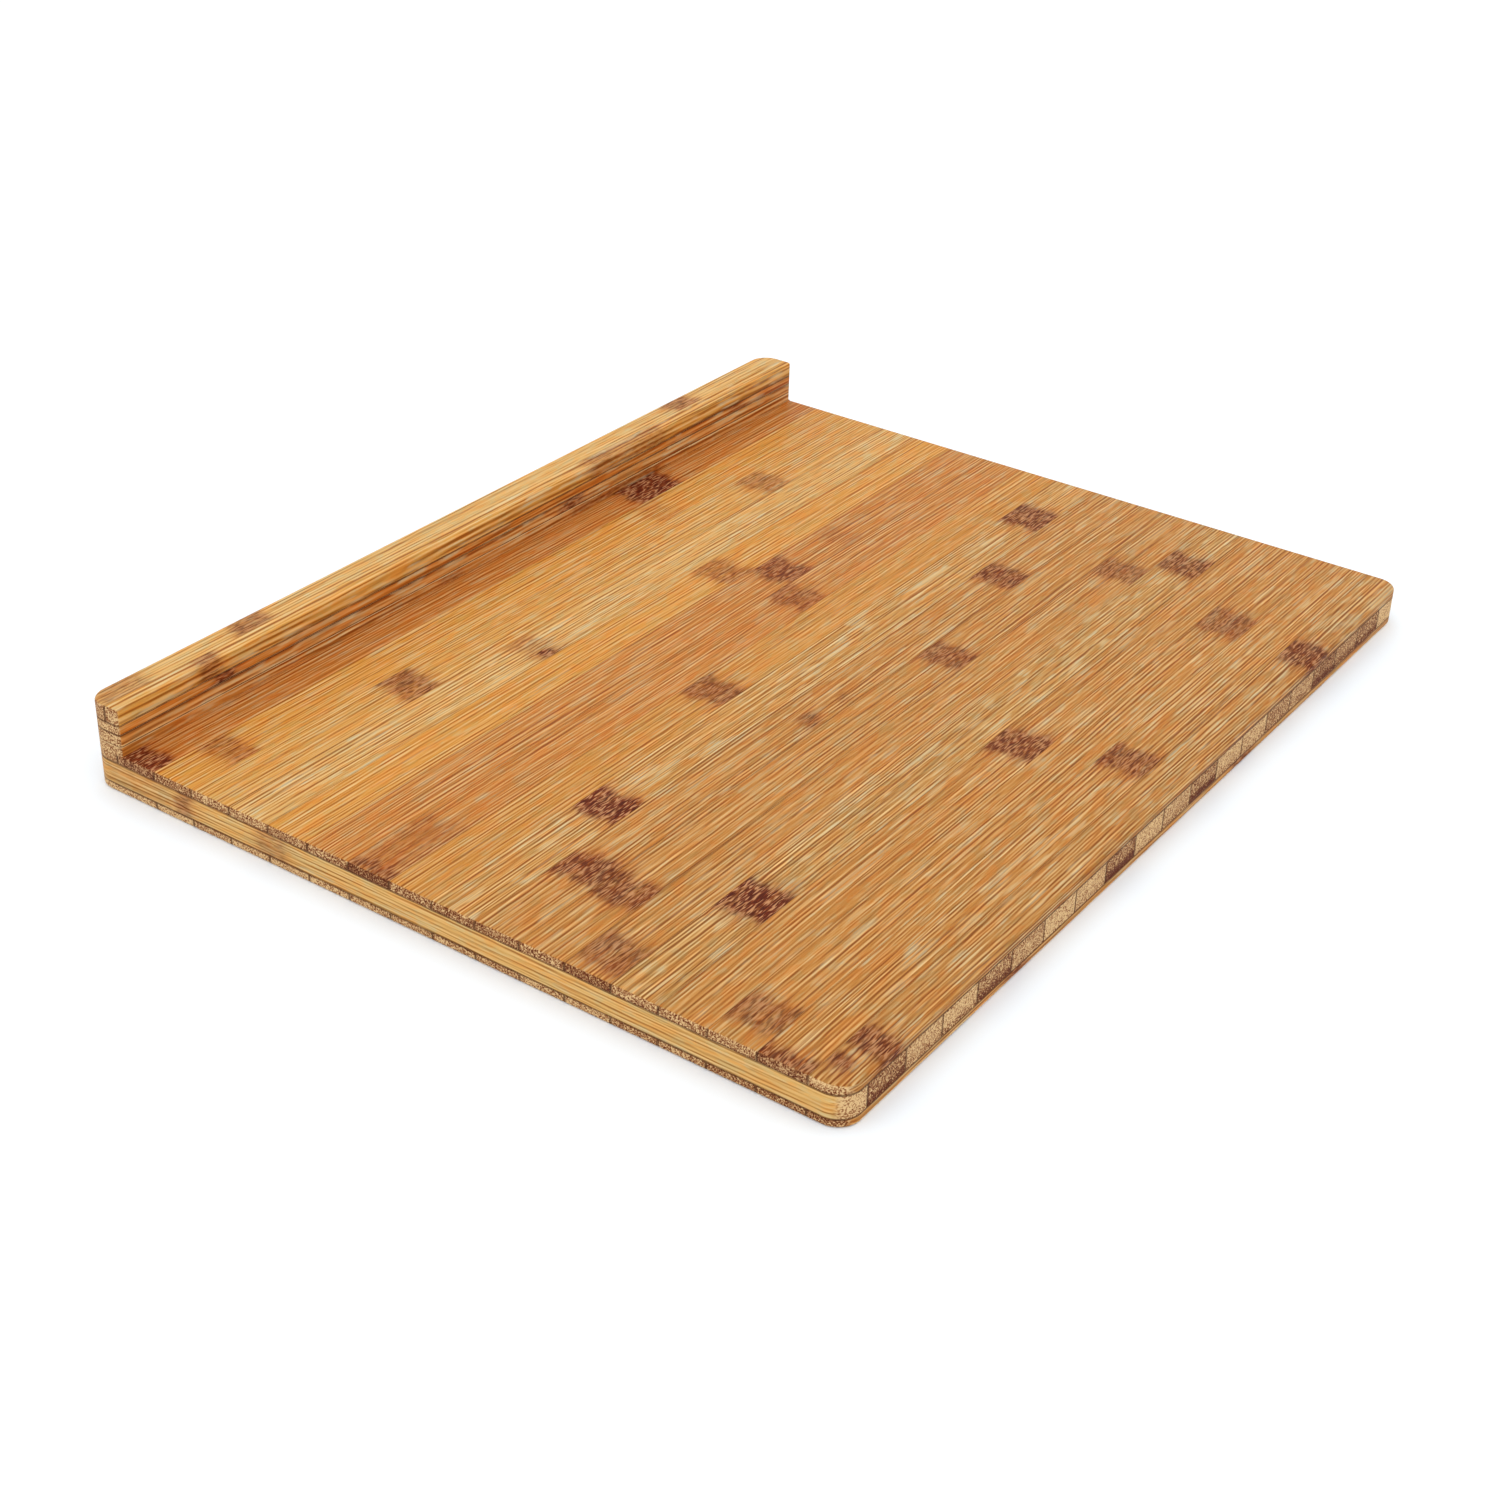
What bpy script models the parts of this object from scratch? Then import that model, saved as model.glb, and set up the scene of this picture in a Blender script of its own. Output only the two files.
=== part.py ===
"""Bamboo cutting board: three plies of glued strips, laid crosswise, with a built-up lip on the back edge.

Metres, +Z up. +X runs along the length, +Y toward the edge with the lip. The underside rests on z = 0 and
its centre is the origin. Neighbouring pieces leave GLUE_GAP between them, where the glue line is.
"""

import math

import bmesh
import bpy

MM = 0.001

LENGTH = 457.2 * MM
DEPTH = 355.6 * MM
HEIGHT = 38.1 * MM
HALF_LENGTH = LENGTH / 2
HALF_DEPTH = DEPTH / 2

BOTTOM_PLY = 3.6 * MM
CORE_PLY = 10.0 * MM
TOP_PLY = 3.8 * MM
BOARD = BOTTOM_PLY + CORE_PLY + TOP_PLY

LIP_WIDTH = 18.2 * MM
LIP_LOWER = 4.3 * MM
LIP_MIDDLE = 5.3 * MM
LIP_UPPER = 4.1 * MM
LIP_CAP = HEIGHT - BOARD - LIP_LOWER - LIP_MIDDLE - LIP_UPPER
CAP_INNER_WIDTH = 7.0 * MM
CAP_OUTER_WIDTH = LIP_WIDTH - CAP_INNER_WIDTH

FACE_STRIP = 20.3 * MM
FACE_FULL_STRIPS = 16
FACE_EDGE_STRIP = (DEPTH - FACE_FULL_STRIPS * FACE_STRIP) / 2
CORE_STRIP = 23.4 * MM
CORE_FULL_STRIPS = 19
CORE_END_STRIP = LENGTH - CORE_FULL_STRIPS * CORE_STRIP

GLUE_GAP = 0.3 * MM
CORNER_RADIUS = 9.5 * MM
LIP_INNER_RADIUS = 1.5 * MM
EASING = 1.2 * MM
CORNER_STEPS = 8
EASING_STEPS = 4
OVERSHOOT = 5.0 * MM  # how far a box reaches past the blank that trims it
MERGE = 0.001 * MM
SMOOTH_BELOW = math.radians(35)

PALE = (0.78, 0.52, 0.24)
GOLDEN = (0.70, 0.42, 0.16)
TAN = (0.64, 0.37, 0.15)
ORANGE = (0.58, 0.29, 0.09)
BROWN = (0.47, 0.22, 0.08)

TOP_TONES = (
    TAN, ORANGE, GOLDEN, GOLDEN, PALE, ORANGE, BROWN, BROWN, GOLDEN,
    PALE, ORANGE, ORANGE, TAN, PALE, ORANGE, TAN, TAN, TAN,
)
CORE_TONES = (
    PALE, BROWN, TAN, GOLDEN, BROWN, TAN, GOLDEN, TAN, BROWN, PALE,
    TAN, BROWN, GOLDEN, PALE, ORANGE, TAN, BROWN, ORANGE, BROWN, PALE,
)
BOTTOM_TONES = (
    TAN, GOLDEN, BROWN, TAN, BROWN, GOLDEN, TAN, TAN, ORANGE,
    BROWN, TAN, TAN, ORANGE, TAN, BROWN, ORANGE, TAN,
)
BARE_BAMBOO_ROUGHNESS = 0.5


def clear_scene():
    for old in list(bpy.data.objects):
        bpy.data.objects.remove(old)


def material(name, colour):
    made = bpy.data.materials.new("bamboo_" + name)
    made.use_nodes = True
    shader = made.node_tree.nodes["Principled BSDF"]
    shader.inputs["Base Color"].default_value = (*colour, 1.0)
    shader.inputs["Roughness"].default_value = BARE_BAMBOO_ROUGHNESS
    shader.inputs["Metallic"].default_value = 0.0
    made.diffuse_color = (*colour, 1.0)
    return made


def arc(centre, radius, start):
    """Points of a quarter turn anticlockwise, from start in quarter turns."""
    angles = [math.pi / 2 * (start + step / CORNER_STEPS) for step in range(CORNER_STEPS + 1)]
    return [(centre[0] + radius * math.cos(a), centre[1] + radius * math.sin(a)) for a in angles]


def board_outline(inset, back_inset):
    """The board's outline, moved in by inset, and by back_inset from the lip's inner face back."""
    x = HALF_LENGTH - CORNER_RADIUS
    y = HALF_DEPTH - CORNER_RADIUS
    lip_face = HALF_DEPTH - LIP_WIDTH
    front = CORNER_RADIUS - inset
    back = CORNER_RADIUS - back_inset
    return (
        arc((-x, -y), front, 2)
        + arc((x, -y), front, 3)
        + [(x + front, lip_face), (x + back, lip_face)]
        + arc((x, y), back, 0)
        + arc((-x, y), back, 1)
        + [(-x - back, lip_face), (-x - front, lip_face)]
    )


def lip_outline(inset):
    x = HALF_LENGTH - CORNER_RADIUS
    y = HALF_DEPTH - CORNER_RADIUS
    inner_x = HALF_LENGTH - LIP_INNER_RADIUS
    inner_y = HALF_DEPTH - LIP_WIDTH + LIP_INNER_RADIUS
    return (
        arc((-inner_x, inner_y), LIP_INNER_RADIUS - inset, 2)
        + arc((inner_x, inner_y), LIP_INNER_RADIUS - inset, 3)
        + arc((x, y), CORNER_RADIUS - inset, 0)
        + arc((-x, y), CORNER_RADIUS - inset, 1)
    )


def easing():
    """(how far in, how far from the face) along the rounding of an edge, from the face to the side."""
    turns = [math.pi / 2 * step / EASING_STEPS for step in range(EASING_STEPS + 1)]
    return [(EASING * (1 - math.sin(a)), EASING * (1 - math.cos(a))) for a in turns]


def blank(name, levels):
    """A closed solid through these (height, outline) levels, from the bottom up."""
    shape = bmesh.new()
    rings = [[shape.verts.new((x, y, z)) for x, y in outline] for z, outline in levels]
    for low, high in zip(rings, rings[1:]):
        for i in range(len(low)):
            shape.faces.new((low[i - 1], low[i], high[i], high[i - 1]))
    shape.faces.new(reversed(rings[0]))
    shape.faces.new(rings[-1])
    bmesh.ops.dissolve_degenerate(shape, edges=shape.edges, dist=MERGE)
    bmesh.ops.remove_doubles(shape, verts=shape.verts, dist=MERGE)
    bmesh.ops.recalc_face_normals(shape, faces=shape.faces)
    return add_object(name, shape)


def board_blank():
    underside = [(rise, board_outline(inset, inset)) for inset, rise in easing()]
    top = [(BOARD - drop, board_outline(inset, 0.0)) for inset, drop in reversed(easing())]
    return blank("board_blank", underside + top)


def lip_blank():
    top = [(HEIGHT - drop, lip_outline(inset)) for inset, drop in reversed(easing())]
    return blank("lip_blank", [(BOARD + GLUE_GAP, lip_outline(0.0))] + top)


def add_object(name, shape):
    mesh = bpy.data.meshes.new(name)
    shape.to_mesh(mesh)
    shape.free()
    made = bpy.data.objects.new(name, mesh)
    bpy.context.collection.objects.link(made)
    return made


def piece(name, x, y, z, trimmed_by, colour, board):
    """A box between these (low, high) pairs, trimmed to the blank, with its own material."""
    shape = bmesh.new()
    bmesh.ops.create_cube(shape, size=1.0)
    size = [high - low for low, high in (x, y, z)]
    bmesh.ops.scale(shape, vec=size, verts=shape.verts)
    made = add_object(name, shape)
    made.location = [(low + high) / 2 for low, high in (x, y, z)]
    made.parent = board
    trim = made.modifiers.new("trim", "BOOLEAN")
    trim.operation = "INTERSECT"
    trim.solver = "EXACT"
    trim.object = trimmed_by
    graph = bpy.context.evaluated_depsgraph_get()
    trimmed = bpy.data.meshes.new_from_object(made.evaluated_get(graph))
    trimmed.name = name
    trimmed.shade_smooth()
    trimmed.set_sharp_from_angle(angle=SMOOTH_BELOW)
    trimmed.materials.clear()
    trimmed.materials.append(material(name, colour))
    made.modifiers.clear()
    made.data = trimmed


def spans(start, sizes):
    """(low, high) of pieces laid side by side from start: half the glue gap is left inside each joint, and
    the first and last pieces overshoot."""
    edges = [start + sum(sizes[:i]) for i in range(len(sizes) + 1)]
    lows = [edges[0] - OVERSHOOT] + [edge + GLUE_GAP / 2 for edge in edges[1:-1]]
    highs = [edge - GLUE_GAP / 2 for edge in edges[1:-1]] + [edges[-1] + OVERSHOOT]
    return list(zip(lows, highs))


def numbered(kind, number):
    return f"{kind}_strip_{number:02d}"


def add_board(trimmed_by, board):
    """The three plies. Face strips are numbered from the back edge, core strips from the -X end."""
    bottom, core, top = spans(0.0, (BOTTOM_PLY, CORE_PLY, TOP_PLY))
    whole_length = (-HALF_LENGTH - OVERSHOOT, HALF_LENGTH + OVERSHOOT)
    whole_depth = (-HALF_DEPTH - OVERSHOOT, HALF_DEPTH + OVERSHOOT)

    full = [FACE_STRIP] * FACE_FULL_STRIPS
    top_rows = spans(-HALF_DEPTH, [FACE_EDGE_STRIP] + full + [FACE_EDGE_STRIP])
    for number, (row, colour) in enumerate(zip(reversed(top_rows), TOP_TONES), 1):
        piece(numbered("top", number), whole_length, row, top, trimmed_by, colour, board)

    wide = FACE_EDGE_STRIP + FACE_STRIP
    bottom_rows = spans(-HALF_DEPTH, [FACE_EDGE_STRIP] + full[1:] + [wide])
    for number, (row, colour) in enumerate(zip(reversed(bottom_rows), BOTTOM_TONES), 1):
        piece(numbered("bottom", number), whole_length, row, bottom, trimmed_by, colour, board)

    columns = spans(-HALF_LENGTH, [CORE_END_STRIP] + [CORE_STRIP] * CORE_FULL_STRIPS)
    for number, (column, colour) in enumerate(zip(columns, CORE_TONES), 1):
        piece(numbered("core", number), column, whole_depth, core, trimmed_by, colour, board)


def add_lip(trimmed_by, board):
    """Three layers, and on them a cap of two strips side by side."""
    length = (-HALF_LENGTH - OVERSHOOT, HALF_LENGTH + OVERSHOOT)
    lip_face = HALF_DEPTH - LIP_WIDTH
    width = (lip_face - OVERSHOOT, HALF_DEPTH + OVERSHOOT)
    lower, middle, upper, cap = spans(BOARD, (LIP_LOWER, LIP_MIDDLE, LIP_UPPER, LIP_CAP))
    inner, outer = spans(lip_face, (CAP_INNER_WIDTH, CAP_OUTER_WIDTH))
    piece("lip_layer_lower", length, width, lower, trimmed_by, TAN, board)
    piece("lip_layer_middle", length, width, middle, trimmed_by, ORANGE, board)
    piece("lip_layer_upper", length, width, upper, trimmed_by, BROWN, board)
    piece("lip_cap_inner", length, inner, cap, trimmed_by, GOLDEN, board)
    piece("lip_cap_outer", length, outer, cap, trimmed_by, GOLDEN, board)


def main():
    clear_scene()
    blanks = board_blank(), lip_blank()
    board = bpy.data.objects.new("cutting_board", None)
    bpy.context.collection.objects.link(board)
    add_board(blanks[0], board)
    add_lip(blanks[1], board)
    for guide in blanks:
        bpy.data.objects.remove(guide)


main()
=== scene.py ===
"""Looks of the bamboo cutting board: finely finished strips in place of the plain ones, and solid bamboo
materials whose fibres, nodes and end grain run right through each strip."""

import math
import random
from typing import NamedTuple

import bmesh
import bpy
from mathutils import Matrix, Vector


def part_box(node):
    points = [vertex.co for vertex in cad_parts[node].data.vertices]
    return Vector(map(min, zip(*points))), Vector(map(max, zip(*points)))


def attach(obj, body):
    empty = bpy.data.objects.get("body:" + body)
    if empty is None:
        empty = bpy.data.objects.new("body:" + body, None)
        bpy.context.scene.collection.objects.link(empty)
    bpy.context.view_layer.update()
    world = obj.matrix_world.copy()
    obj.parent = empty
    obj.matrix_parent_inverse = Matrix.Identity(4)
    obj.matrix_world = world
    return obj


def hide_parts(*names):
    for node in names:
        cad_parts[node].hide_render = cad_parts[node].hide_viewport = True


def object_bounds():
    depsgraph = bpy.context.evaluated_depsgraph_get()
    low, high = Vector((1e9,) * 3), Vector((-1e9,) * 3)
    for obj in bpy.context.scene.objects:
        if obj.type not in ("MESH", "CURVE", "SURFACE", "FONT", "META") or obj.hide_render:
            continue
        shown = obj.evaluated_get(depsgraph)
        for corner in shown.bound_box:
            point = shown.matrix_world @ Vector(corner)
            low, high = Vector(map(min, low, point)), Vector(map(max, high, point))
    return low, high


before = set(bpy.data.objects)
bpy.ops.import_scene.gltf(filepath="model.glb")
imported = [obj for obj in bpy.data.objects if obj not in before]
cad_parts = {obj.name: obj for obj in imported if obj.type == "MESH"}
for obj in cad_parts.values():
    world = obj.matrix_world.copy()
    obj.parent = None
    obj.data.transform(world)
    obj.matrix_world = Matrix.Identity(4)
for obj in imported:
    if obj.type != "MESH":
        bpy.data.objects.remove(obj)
CAD_LOW, CAD_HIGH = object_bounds()

MM = 0.001

HALF_LENGTH = CAD_HIGH.x
HALF_DEPTH = CAD_HIGH.y
HEIGHT = CAD_HIGH.z
BOARD_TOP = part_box("top_strip_10")[1].z
LIP_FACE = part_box("lip_layer_middle")[0].y
LIP_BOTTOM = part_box("lip_layer_lower")[0].z
GLUE_GAP = LIP_BOTTOM - BOARD_TOP  # what the CAD leaves open at every joint


# ---------------------------------------------------------------- shapes

CORNER_RADIUS = 9.5 * MM
LIP_INNER_RADIUS = 1.5 * MM
EASING = 1.2 * MM  # radius of the rounding along the outer edges
CORNER_STEPS = 16
EASING_STEPS = 6
OVERSHOOT = 5.0 * MM  # how far a box reaches past the blank that trims it
SEAM = 0.03 * MM  # what is left open between two glued pieces
ARRIS_WIDTH = 0.07 * MM
ARRIS_SEGMENTS = 2
ARRIS_ANGLE = math.radians(50)  # an edge that turns by more than this is broken
FACE_WEIGHT = 100  # the large faces alone decide how the rounded arrises shade
MERGE = 0.001 * MM  # points nearer than this become one
TOUCHING = 0.01 * MM  # a side this near a limit lies on it


def arc(centre, radius, start):
    """Points of a quarter turn anticlockwise, from start in quarter turns."""
    angles = [math.pi / 2 * (start + step / CORNER_STEPS) for step in range(CORNER_STEPS + 1)]
    return [(centre[0] + radius * math.cos(a), centre[1] + radius * math.sin(a)) for a in angles]


def board_outline(inset, back_inset):
    """The board's outline, moved in by inset, and by back_inset from the lip's inner face back."""
    x = HALF_LENGTH - CORNER_RADIUS
    y = HALF_DEPTH - CORNER_RADIUS
    front = CORNER_RADIUS - inset
    back = CORNER_RADIUS - back_inset
    return (
        arc((-x, -y), front, 2)
        + arc((x, -y), front, 3)
        + [(x + front, LIP_FACE), (x + back, LIP_FACE)]
        + arc((x, y), back, 0)
        + arc((-x, y), back, 1)
        + [(-x - back, LIP_FACE), (-x - front, LIP_FACE)]
    )


def lip_outline(inset):
    """The lip's outline, moved in by inset."""
    x = HALF_LENGTH - CORNER_RADIUS
    y = HALF_DEPTH - CORNER_RADIUS
    inner_x = HALF_LENGTH - LIP_INNER_RADIUS
    inner_y = LIP_FACE + LIP_INNER_RADIUS
    return (
        arc((-inner_x, inner_y), LIP_INNER_RADIUS - inset, 2)
        + arc((inner_x, inner_y), LIP_INNER_RADIUS - inset, 3)
        + arc((x, y), CORNER_RADIUS - inset, 0)
        + arc((-x, y), CORNER_RADIUS - inset, 1)
    )


def easing():
    """(how far in, how far from the face) along the rounding of an edge, from the face to the side."""
    turns = [math.pi / 2 * step / EASING_STEPS for step in range(EASING_STEPS + 1)]
    return [(EASING * (1 - math.sin(a)), EASING * (1 - math.cos(a))) for a in turns]


def add_object(name, shape):
    """A new object with this bmesh as its mesh. The bmesh is freed."""
    mesh = bpy.data.meshes.new(name)
    shape.to_mesh(mesh)
    shape.free()
    made = bpy.data.objects.new(name, mesh)
    bpy.context.collection.objects.link(made)
    return made


def blank(name, levels):
    """A closed solid through these (height, outline) levels, from the bottom up."""
    shape = bmesh.new()
    rings = [[shape.verts.new((x, y, z)) for x, y in outline] for z, outline in levels]
    for low, high in zip(rings, rings[1:]):
        for i in range(len(low)):
            shape.faces.new((low[i - 1], low[i], high[i], high[i - 1]))
    shape.faces.new(reversed(rings[0]))
    shape.faces.new(rings[-1])
    bmesh.ops.dissolve_degenerate(shape, edges=shape.edges, dist=MERGE)
    bmesh.ops.remove_doubles(shape, verts=shape.verts, dist=MERGE)
    bmesh.ops.recalc_face_normals(shape, faces=shape.faces)
    return add_object(name, shape)


def board_blank():
    """The board as one solid. Its edges are eased, except for the top one under the lip."""
    underside = [(rise, board_outline(inset, inset)) for inset, rise in easing()]
    top = [(BOARD_TOP - drop, board_outline(inset, 0.0)) for inset, drop in reversed(easing())]
    return blank("board_blank", underside + top)


def lip_blank():
    """The lip as one solid on the board, with its top edges eased."""
    top = [(HEIGHT - drop, lip_outline(inset)) for inset, drop in reversed(easing())]
    return blank("lip_blank", [(BOARD_TOP + SEAM, lip_outline(0.0))] + top)


def glued_limits(node, free_low, free_high):
    """The node's box grown to its glue lines. A side on the blank's outside is free: it overshoots."""
    low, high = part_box(node)
    grow = (GLUE_GAP - SEAM) / 2
    low = [c - (OVERSHOOT if abs(c - f) < TOUCHING else grow) for c, f in zip(low, free_low)]
    high = [c + (OVERSHOOT if abs(c - f) < TOUCHING else grow) for c, f in zip(high, free_high)]
    return Vector(low), Vector(high)


def finished(made):
    """Swaps the object's mesh for its evaluated one, and drops its modifiers."""
    graph = bpy.context.evaluated_depsgraph_get()
    mesh = bpy.data.meshes.new_from_object(made.evaluated_get(graph))
    mesh.name = made.name
    made.modifiers.clear()
    made.data = mesh


def strip(name, low, high, trimmed_by):
    """A box between low and high, trimmed to the blank, with its arrises just broken."""
    shape = bmesh.new()
    bmesh.ops.create_cube(shape, size=1.0)
    for corner in shape.verts:
        corner.co = [a if c < 0 else b for c, a, b in zip(corner.co, low, high)]
    made = add_object(name, shape)
    trim = made.modifiers.new("trim", "BOOLEAN")
    trim.operation = "INTERSECT"
    trim.solver = "EXACT"
    trim.object = trimmed_by
    finished(made)
    made.data.shade_smooth()
    bevel = made.modifiers.new("arris", "BEVEL")
    bevel.width = ARRIS_WIDTH
    bevel.segments = ARRIS_SEGMENTS
    bevel.limit_method = "ANGLE"
    bevel.angle_limit = ARRIS_ANGLE
    bevel.use_clamp_overlap = True
    weighted = made.modifiers.new("flat", "WEIGHTED_NORMAL")
    weighted.weight = FACE_WEIGHT
    finished(made)
    return made


# ---------------------------------------------------------------- shader trees


class Noise(NamedTuple):
    """A cloudy pattern of values round 0.5. Its size is in millimetres along, across and through a strip."""

    size: tuple
    detail: float = 1.0
    roughness: float = 0.5


class Lines(NamedTuple):
    """Fine lines along the fibres: their length and width in millimetres, and their share in the shade."""

    length: float
    width: float
    share: float


# Lengths are in millimetres, and widths in widths of the line or ridge.
LINE_OFFSET = 1.35
RIDGE_DRIFT = 5.0  # in radians of the wave
RIDGE_DRIFT_LENGTH = 260.0
RIDGE_DRIFT_WIDTH = 2.0
RIDGE_FADE_LENGTH = 45.0
RIDGE_FADE_WIDTH = 1.5
RIDGE_FADE_EDGES = (0.15, 0.65)  # the values of the noise where a ridge fades in, and is whole
SCATTER_RANDOMNESS = 0.9


class Tree:
    """Short ways to add nodes to one shader tree. A value is a number, a tuple or another node's output."""

    def __init__(self, tree):
        self.tree = tree

    def node(self, kind, inputs=(), **settings):
        made = self.tree.nodes.new(kind)
        for name, value in settings.items():
            setattr(made, name, value)
        for key, value in dict(inputs).items():
            self.feed(made.inputs[key], value)
        return made

    def feed(self, socket, value):
        if isinstance(value, bpy.types.NodeSocket):
            self.tree.links.new(value, socket)
        else:
            socket.default_value = value

    def math(self, operation, a, b=0.0):
        return self.node("ShaderNodeMath", {0: a, 1: b}, operation=operation).outputs[0]

    def add(self, a, b):
        return self.math("ADD", a, b)

    def less(self, a, b):
        return self.math("SUBTRACT", a, b)

    def times(self, a, b):
        return self.math("MULTIPLY", a, b)

    def apart(self, a, b):
        """How far a is from b, either way."""
        return self.math("ABSOLUTE", self.less(a, b))

    def swing(self, value, size):
        """A 0 to 1 value as a swing of size either side of 0."""
        return self.times(self.less(value, 0.5), 2 * size)

    def most(self, values):
        found = values[0]
        for value in values[1:]:
            found = self.math("MAXIMUM", found, value)
        return found

    def band(self, value, start, end):
        """0 where value is at start and 1 at end, eased between. start may be above end."""
        made = self.node(
            "ShaderNodeMapRange",
            {"Value": value, "From Min": start, "From Max": end, "To Min": 0.0, "To Max": 1.0},
            interpolation_type="SMOOTHSTEP",
        )
        return made.outputs[0]

    def mix(self, share, a, b, blend="MIX"):
        """Colour a turned into b, or with another blend changed by b, as far as share says."""
        # The node's sockets have the same names for numbers and colours, so they are found by their place.
        made = self.node("ShaderNodeMix", data_type="RGBA", blend_type=blend, clamp_factor=True)
        self.feed(made.inputs[0], share)
        self.feed(made.inputs[6], a)
        self.feed(made.inputs[7], b)
        return made.outputs[2]

    def mix_numbers(self, share, a, b):
        return self.node("ShaderNodeMix", {0: share, 2: a, 3: b}, data_type="FLOAT").outputs[0]

    def vector(self, x, y, z):
        return self.node("ShaderNodeCombineXYZ", {0: x, 1: y, 2: z}).outputs[0]

    def parts(self, vector):
        return self.node("ShaderNodeSeparateXYZ", {0: vector}).outputs

    def vector_math(self, operation, a, b):
        return self.node("ShaderNodeVectorMath", {0: a, 1: b}, operation=operation).outputs[0]

    def cells(self, vector, size):
        """The vector measured in cells of this size, in millimetres along each axis."""
        return self.vector_math("MULTIPLY", vector, tuple(1 / length for length in size))

    def noise(self, vector, kind):
        inputs = {
            "Vector": self.cells(vector, kind.size),
            "Scale": 1.0,
            "Detail": kind.detail,
            "Roughness": kind.roughness,
        }
        return self.node("ShaderNodeTexNoise", inputs).outputs[0]

    def lines(self, rows, kind):
        """Even lines, either side of 0: a noise, less itself one line over."""
        noise = Noise((kind.length, kind.width, kind.width), 0.0)
        over = self.vector_math("ADD", rows, (0.0, LINE_OFFSET * kind.width, 0.0))
        return self.less(self.noise(rows, noise), self.noise(over, noise))

    def ridges(self, place, rows, width, height):
        """A wave across the rows, of this width and greatest height, that drifts and fades along them."""
        drift_width = RIDGE_DRIFT_WIDTH * width
        fade_width = RIDGE_FADE_WIDTH * width
        drift = self.noise(place, Noise((RIDGE_DRIFT_LENGTH, drift_width, drift_width)))
        fade = self.noise(place, Noise((RIDGE_FADE_LENGTH, fade_width, fade_width)))
        turns = self.times(self.parts(rows)[1], 2 * math.pi / width)
        wave = self.math("SINE", self.add(turns, self.swing(drift, RIDGE_DRIFT)))
        return self.times(self.times(wave, self.band(fade, *RIDGE_FADE_EDGES)), height)

    def scatter(self, vector, size):
        """Distance to the nearest of points scattered one to a cell of this size."""
        inputs = {"Vector": self.cells(vector, size), "Scale": 1.0, "Randomness": SCATTER_RANDOMNESS}
        return self.node("ShaderNodeTexVoronoi", inputs).outputs["Distance"]


# ---------------------------------------------------------------- bamboo

LIGHT_SHARE = 0.88  # the studio light is brighter than 1, so the wood's colours are this share of what shows


def srgb(red, green, blue):
    """The linear colour that shows as these 8-bit display values in the studio light, by the sRGB curve."""

    def linear(value):
        value /= 255
        return value / 12.92 if value <= 0.04045 else ((value + 0.055) / 1.055) ** 2.4

    return tuple(LIGHT_SHARE * linear(value) for value in (red, green, blue)) + (1.0,)


GROUP_INPUTS = (
    ("Grain", "NodeSocketVector"),
    ("Facing", "NodeSocketVector"),
    ("Seed", "NodeSocketFloat"),
    ("Tone", "NodeSocketColor"),
    ("Pale", "NodeSocketFloat"),
    ("Fineness", "NodeSocketFloat"),
    ("End dark", "NodeSocketFloat"),
    ("Skin", "NodeSocketVector"),
    ("Low", "NodeSocketVector"),
    ("High", "NodeSocketVector"),
    ("Glue and shading", "NodeSocketColor"),
)
KNOTS = 4  # the most nodes of the culm in one strip
KNOT_INPUTS = tuple(
    (f"Knot {number} {word}", "NodeSocketVector")
    for number in range(1, KNOTS + 1)
    for word in ("at", "size")
)
GROUP_OUTPUTS = (
    ("Color", "NodeSocketColor"),
    ("Roughness", "NodeSocketFloat"),
    ("Height", "NodeSocketFloat"),
)

# How far a face looks one way for something to show on it. A pair is where that fades in, and is whole.
END_FACING = (0.35, 0.7)  # along the fibres, for end grain
TOP_FACING = 0.6  # up or down, for the rows across the strip
# A glue line also stands for painted shade in its joint.
JOINT_FACING = (0.75, 0.35)  # toward the joint, for its glue line

SEED_SHIFT = (173.0, 61.0, 37.0)  # how far the patterns move from one seed to the next, in millimetres

# Nodes of the culm, in millimetres. A pair is where a node, or the wood beside it, fades in, and is whole,
# counted from the end or side of the node.
RAGGED = Noise((40.0, 1.1, 1.1))
RAGGED_REACH = 2.2
BENT = Noise((60.0, 7.0, 7.0))
BENT_REACH = 5.0
KNOT_ALONG = (2.6, -4.2)
KNOT_ACROSS = (1.0, -1.4)
HALO_ALONG = (11.0, -3.0)
HALO_ACROSS = (3.0, -1.0)

# Fibres, in millimetres.
WANDER = Noise((160.0, 14.0, 14.0))
WANDER_REACH = 1.4
SWERVE = Noise((7.0, 3.0, 3.0))
SWERVE_REACH = 0.8
SWERVE_AWAY = 0.06  # the share of the swerve that is left away from a node
ROW_SLICE = 0.3  # the depth at which the patterns of the rows are read
LONG_LINES = Lines(240.0, 0.78, 0.65)
SHORT_LINES = Lines(45.0, 0.66, 0.8)
DASHES = Lines(20.0, 0.66, 1.0)
FLICKER = Lines(7.0, 0.62, 0.75)
RIDGE_WIDTH = 2.05
RIDGE_HEIGHT = 0.48
FINE_RIDGE_WIDTH = 1.5
FINE_RIDGE_HEIGHT = 0.66
BUNDLES = (130.0, 0.9, 0.9)
BUNDLE_MIDDLE = 0.56
BUNDLE_SHARE = 0.5
STREAKS = Noise((240.0, 2.6, 2.6))
STREAK_SWING = 0.12
BROAD = Noise((140.0, 8.0, 8.0))
BROAD_SWING = 0.14
CONTRAST = 0.85
PALE_CONTRAST = 0.5  # what pale fibres add to the contrast
FIBRE_DARK = (0.50, 0.35, 0.23, 1.0)  # a dark fibre, as a share of the strip's tone
FIBRE_DARK_SHARE = 0.85
FIBRE_LIGHT = srgb(246, 208, 146)
FIBRE_LIGHT_SHARE = 0.42

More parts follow.
